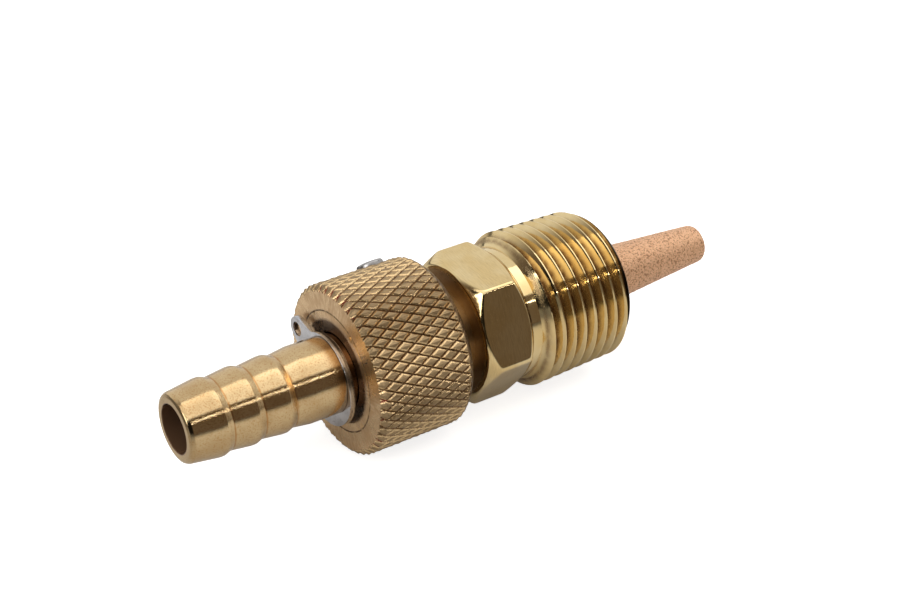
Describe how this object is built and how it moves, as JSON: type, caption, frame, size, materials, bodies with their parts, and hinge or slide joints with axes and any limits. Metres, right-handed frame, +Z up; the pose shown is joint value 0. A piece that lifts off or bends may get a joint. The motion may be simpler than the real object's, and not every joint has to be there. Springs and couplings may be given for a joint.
{
  "type": "fuel petcock",
  "caption": "In-line brass fuel petcock: hose tail, knurled sleeve that opens it with a quarter turn, spanner hexagon, tapered pipe thread and sintered filter cone.",
  "frame": {"origin": "on the valve's axis, at the hexagon's thread side, where the inlet thread's relief neck starts", "axes": "+X along the axis towards the inlet filter, +Z up, -Y towards the side that the picture shows"},
  "size_m": [0.0671, 0.0186, 0.0186],
  "materials": {
    "polished_brass": "polished",
    "satin_brass": "satin, turned",
    "knurled_brass": "diamond knurled",
    "faced_brass": "faced, satin",
    "ring_steel": "stamped, bright",
    "screw_steel": "blackened",
    "bright_steel": "bright",
    "seal_rubber": "matte",
    "sintered_bronze": "sintered, porous"
  },
  "bodies": {
    "fixed_valve": {"valve_body": "polished_brass", "outlet_tail": "satin_brass", "retaining_ring": "ring_steel", "inlet_filter": "sintered_bronze", "front_seal": "seal_rubber", "rear_seal": "seal_rubber", "port_seal": "seal_rubber"},
    "turning_sleeve": {"knurled_sleeve": "knurled_brass", "end_washer": "faced_brass", "set_screw": "screw_steel", "detent_spring": "bright_steel", "detent_ball": "bright_steel"}
  },
  "joints": [
    {"name": "sleeve_turn", "type": "hinge", "parent": "fixed_valve", "child": "turning_sleeve", "pos_m": [0, 0, 0], "axis": [1, 0, 0], "range_deg": [0, 90]}
  ]
}
